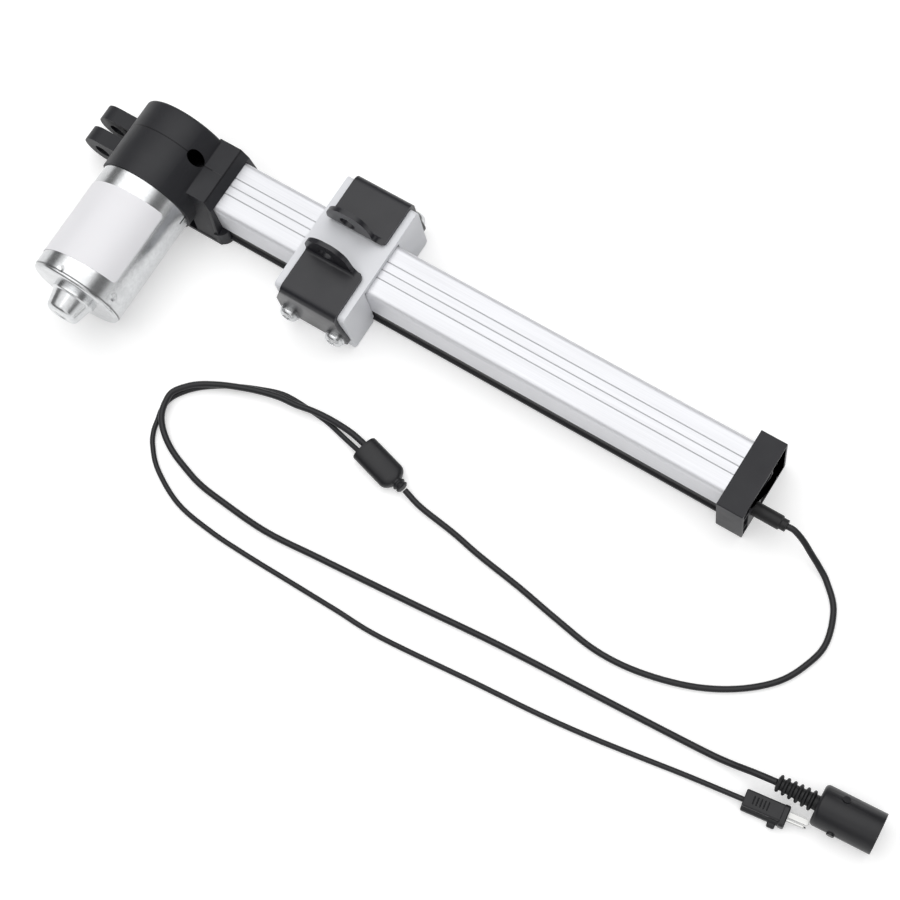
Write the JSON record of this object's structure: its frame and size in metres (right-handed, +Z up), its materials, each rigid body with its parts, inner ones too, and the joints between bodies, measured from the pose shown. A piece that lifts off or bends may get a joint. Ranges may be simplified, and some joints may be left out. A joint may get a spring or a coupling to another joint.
{
  "type": "linear actuator",
  "caption": "Electric linear actuator: a forked carriage slides along an aluminium rail between a gearbox with a rear clevis and an end cap. Its lead splits to a round socket and a plug.",
  "frame": {"origin": "centre of the rear clevis bore", "axes": "+X along the rail from the rear clevis to the end cap, +Y across the rail along the clevis bore, away from the motor, +Z up out of the rail's grooved face"},
  "size_m": [0.6352, 0.2347, 0.0681],
  "materials": {
    "housing_plastic": "black glass-filled nylon, fine moulded grain",
    "zinc_steel": "bright zinc-plated steel",
    "cap_steel": "drawn zinc-plated steel",
    "label": "bare white foil label",
    "anodised": "satin clear-anodised extrusion",
    "rail_plastic": "black extruded plastic",
    "carriage_plastic": "white moulded acetal",
    "bracket_paint": "black powder-coated steel sheet",
    "screw_zinc": "bright zinc-plated screws",
    "cap_plastic": "black moulded nylon",
    "cord_pvc": "black soft PVC",
    "boot_pvc": "black soft moulding",
    "socket_plastic": "black moulded shell",
    "contact_brass": "bare brass",
    "pin_nickel": "nickel-plated brass",
    "magnet": "sintered ferrite",
    "lamination": "laminated electrical steel",
    "winding": "enamelled copper wire",
    "commutator_copper": "hard copper",
    "carbon": "carbon brush",
    "brush_board": "brown phenolic moulding",
    "bronze": "sintered bronze",
    "turned_steel": "turned steel",
    "gear_plastic": "natural acetal",
    "switch_plastic": "black switch case"
  },
  "bodies": {
    "housing": {"gear_housing_near": "housing_plastic", "gear_housing_far": "housing_plastic", "housing_screws": "screw_zinc", "front_flange": "housing_plastic", "flange_pins": "turned_steel", "motor_can": "zinc_steel", "bearing_cup": "cap_steel", "motor_magnets": "magnet", "motor_label": "label", "brush_plate": "brush_board", "brushes": "carbon", "shaft_bushes": "bronze", "spindle_bearings": "turned_steel", "end_bush": "bronze", "aluminium_profile": "anodised", "lower_rail": "rail_plastic", "limit_switches": "switch_plastic", "harness_strip": "cord_pvc", "end_cap": "cap_plastic", "end_cap_screws": "screw_zinc", "strain_relief": "boot_pvc", "main_cable": "cord_pvc", "splitter": "socket_plastic", "socket_cable": "cord_pvc", "plug_cable": "cord_pvc", "socket_boot": "boot_pvc", "socket_shell": "socket_plastic", "socket_insert": "switch_plastic", "socket_contacts": "contact_brass", "two_pin_plug": "socket_plastic", "plug_pins": "pin_nickel"},
    "armature": {"motor_shaft": "turned_steel", "armature_core": "lamination", "armature_windings": "winding", "commutator": "commutator_copper"},
    "spindle": {"lead_screw": "turned_steel", "worm_wheel": "gear_plastic", "lock_nut": "screw_zinc"},
    "carriage": {"carriage_block": "carriage_plastic", "bracket_near": "bracket_paint", "bracket_far": "bracket_paint", "bracket_screws": "screw_zinc", "spindle_nut": "gear_plastic", "nut_bridge": "turned_steel", "bridge_screws": "screw_zinc"}
  },
  "joints": [
    {"name": "armature_spin", "type": "hinge", "parent": "housing", "child": "armature", "pos_m": [0.0547, 0, 0.022], "axis": [0, -1, 0], "range_deg": [-90000, 517500]},
    {"name": "spindle_spin", "type": "hinge", "parent": "housing", "child": "spindle", "pos_m": [0.0547, 0, 0.005], "axis": [-1, 0, 0], "range_deg": [-3605, 20705]},
    {"name": "carriage_slide", "type": "slide", "parent": "housing", "child": "carriage", "axis": [1, 0, 0], "range_m": [-0.0401, 0.2301]}
  ],
  "couplings": [
    {"joint": "spindle_spin", "follows": "armature_spin", "ratio": 0.04},
    {"joint": "carriage_slide", "follows": "armature_spin", "m_per_rad": 0.000025465}
  ]
}
